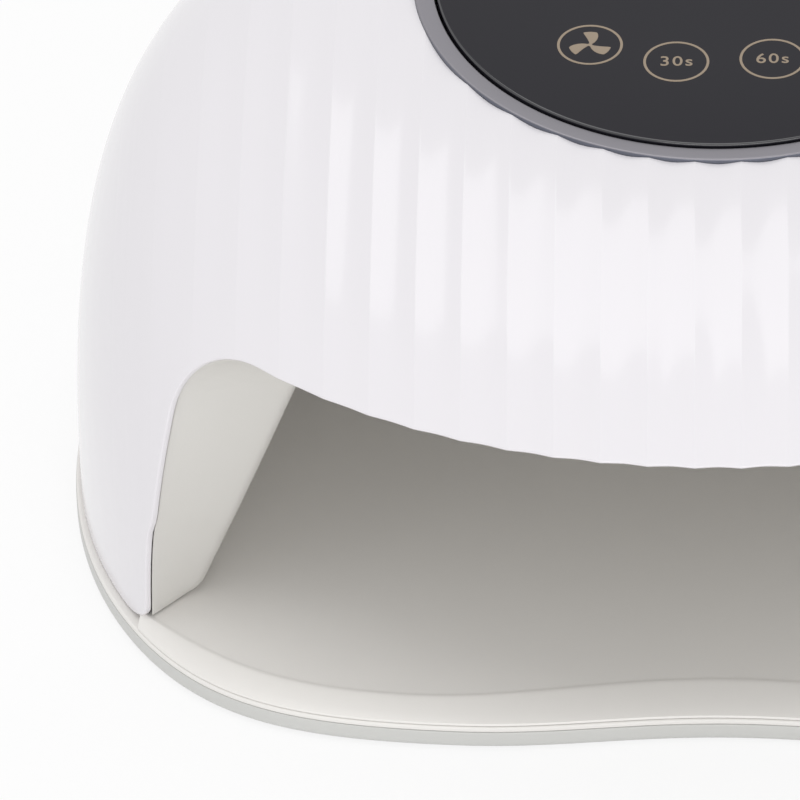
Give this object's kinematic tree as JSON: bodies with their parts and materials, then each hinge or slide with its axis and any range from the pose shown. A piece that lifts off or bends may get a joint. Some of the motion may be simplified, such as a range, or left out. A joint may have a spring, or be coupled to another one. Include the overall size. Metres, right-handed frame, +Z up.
{
  "type": "led nail lamp",
  "caption": "Fluted white dome nail lamp with a wide front hand opening, round dark touch panel in a grey ring, grey liner with light beads, and a thin tray it lifts off.",
  "frame": {"origin": "on the table under the middle of the lamp's overall box, level with the undersides of the tray's feet", "axes": "+Z up, +X to the user's right, the hand goes in along +Y, so the hand opening faces -Y"},
  "size_m": [0.2346, 0.2014, 0.1047],
  "materials": {
    "shell_white": "white glossy moulded plastic with shallow flutes",
    "liner_grey": "warm light grey satin moulded plastic",
    "tray_grey": "warm light grey satin moulded plastic",
    "cover_grey": "plain light grey plastic",
    "bezel_metal": "mid grey satin metal",
    "lock_ring_white": "plain white plastic",
    "panel_dark": "dark glossy panel with pale gold rings",
    "dark_plastic": "black moulded plastic",
    "rubber_black": "dark grey soft rubber",
    "steel": "plated steel",
    "sink_aluminium": "extruded aluminium",
    "board_green": "green lacquered circuit board",
    "board_white": "white lacquered circuit board",
    "standoff_brass": "turned brass",
    "coil_black": "black potted coil",
    "capacitor_blue": "dark blue sleeved capacitor",
    "lead_black": "black insulated wire",
    "lead_red": "red insulated wire",
    "lead_cream": "cream insulated wire"
  },
  "bodies": {
    "tray": {"base_pan": "tray_grey", "tray_lid": "tray_grey", "floor_plate": "tray_grey", "tray_foot_1": "rubber_black", "tray_foot_2": "rubber_black", "tray_foot_3": "rubber_black", "tray_foot_4": "rubber_black", "tray_magnet_1": "steel", "tray_magnet_2": "steel", "tray_screw_1": "steel", "tray_screw_2": "steel", "tray_screw_3": "steel", "tray_screw_4": "steel"},
    "lamp": {"outer_shell": "shell_white", "inner_liner": "liner_grey", "bottom_cover": "cover_grey", "bezel_ring": "bezel_metal", "bezel_lock_ring": "lock_ring_white", "touch_panel": "panel_dark", "panel_carrier": "dark_plastic", "digit_display": "dark_plastic", "sensor_emitter": "dark_plastic", "sensor_receiver": "dark_plastic", "fan_frame": "dark_plastic", "power_inlet": "dark_plastic", "touch_pad_1": "rubber_black", "touch_pad_2": "rubber_black", "touch_pad_3": "rubber_black", "touch_pad_4": "rubber_black", "lamp_magnet_1": "steel", "lamp_magnet_2": "steel", "cover_screw_1": "steel", "cover_screw_2": "steel", "cover_screw_3": "steel", "cover_screw_4": "steel", "board_screw_1": "steel", "board_screw_2": "steel", "board_screw_3": "steel", "fan_screw_1": "steel", "fan_screw_2": "steel", "heat_sink": "sink_aluminium", "control_board": "board_green", "driver_board": "board_green", "sensor_board": "board_green", "light_board_top": "board_white", "light_board_left": "board_white", "light_board_right": "board_white", "light_board_rear": "board_white", "driver_standoff_1": "standoff_brass", "driver_standoff_2": "standoff_brass", "driver_coil": "coil_black", "driver_capacitor": "capacitor_blue", "supply_lead": "lead_black", "fan_lead": "lead_black", "control_lead": "lead_red", "light_lead": "lead_cream"},
    "fan_rotor_body": {"fan_rotor": "dark_plastic", "fan_shaft": "steel"}
  },
  "joints": [
    {"name": "lamp_lift", "type": "slide", "parent": "tray", "child": "lamp", "axis": [0, 0, 1], "range_m": [0, 0.12]},
    {"name": "fan_spin", "type": "hinge", "parent": "lamp", "child": "fan_rotor_body", "pos_m": [0, 0.00443, 0.0741], "axis": [0, 0, 1], "continuous": true}
  ]
}
